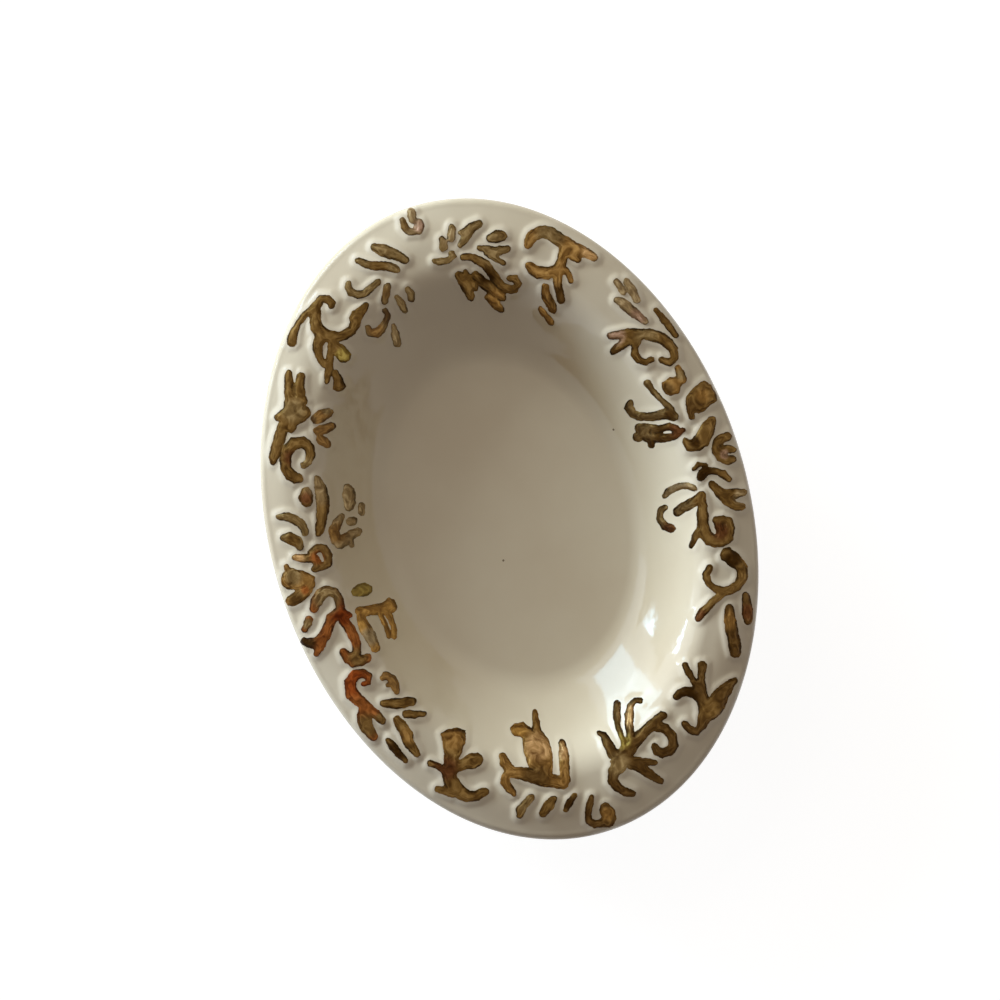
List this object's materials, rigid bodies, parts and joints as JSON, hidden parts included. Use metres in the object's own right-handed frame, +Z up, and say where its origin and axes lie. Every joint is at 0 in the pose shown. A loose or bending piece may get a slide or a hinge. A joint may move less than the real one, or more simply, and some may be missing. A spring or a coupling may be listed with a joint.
{
  "type": "ring dish",
  "caption": "Shallow oval glazed clay dish for rings and trinkets, with a flat-floored well and a broad rim carrying raised gilded scroll-and-leaf sprigs, on a low foot ring.",
  "frame": {"origin": "centre of the oval on the plane that the foot ring stands on", "axes": "+X along the dish, +Y across it, +Z up out of the well"},
  "size_m": [0.11, 0.0806, 0.0179],
  "materials": {
    "ivory_glaze": "glossy clear glaze over ivory clay",
    "bare_clay": "unglazed, wiped clean",
    "bronze_lustre": "bronze-gold lustre fired on the glaze",
    "pale_lustre": "thin olive-gold lustre fired on the glaze",
    "honey_lustre": "honey-gold lustre fired on the glaze",
    "amber_lustre": "amber-red lustre fired on the glaze"
  },
  "bodies": {
    "root": {"dish_body": "ivory_glaze", "foot_ring": "bare_clay", "edge_bud": "pale_lustre", "twig_sprig": "bronze_lustre", "leaf_spray": "bronze_lustre", "crown_scroll": "honey_lustre", "trio_leaves": "pale_lustre", "tailed_scroll": "bronze_lustre", "round_bud": "honey_lustre", "hooked_stem": "bronze_lustre", "arched_leaf": "bronze_lustre", "block_leaf": "honey_lustre", "comma_leaf": "bronze_lustre", "fork_leaf": "bronze_lustre", "forked_twig": "bronze_lustre", "ribbon_scroll": "bronze_lustre", "cup_curl": "bronze_lustre", "ring_scroll": "bronze_lustre", "paired_dashes": "bronze_lustre", "forked_scroll": "bronze_lustre", "spiral_scroll": "bronze_lustre", "hooked_bud": "honey_lustre", "three_dashes": "bronze_lustre", "broad_leaf": "honey_lustre", "curl_leaf": "honey_lustre", "leaf_dashes": "bronze_lustre", "amber_hook": "amber_lustre", "short_leaf": "pale_lustre", "amber_scroll": "amber_lustre", "pale_fan": "pale_lustre", "oval_bead": "pale_lustre", "edge_leaves": "honey_lustre", "square_spiral": "amber_lustre", "dash_leaves": "bronze_lustre", "long_leaf": "bronze_lustre", "berry_cluster": "pale_lustre", "c_scroll": "bronze_lustre", "leaf_fan": "bronze_lustre", "three_petals": "pale_lustre", "hook_scroll": "bronze_lustre", "small_tendril": "pale_lustre", "plain_hook": "bronze_lustre", "twin_strokes": "bronze_lustre"}
  },
  "joints": []
}
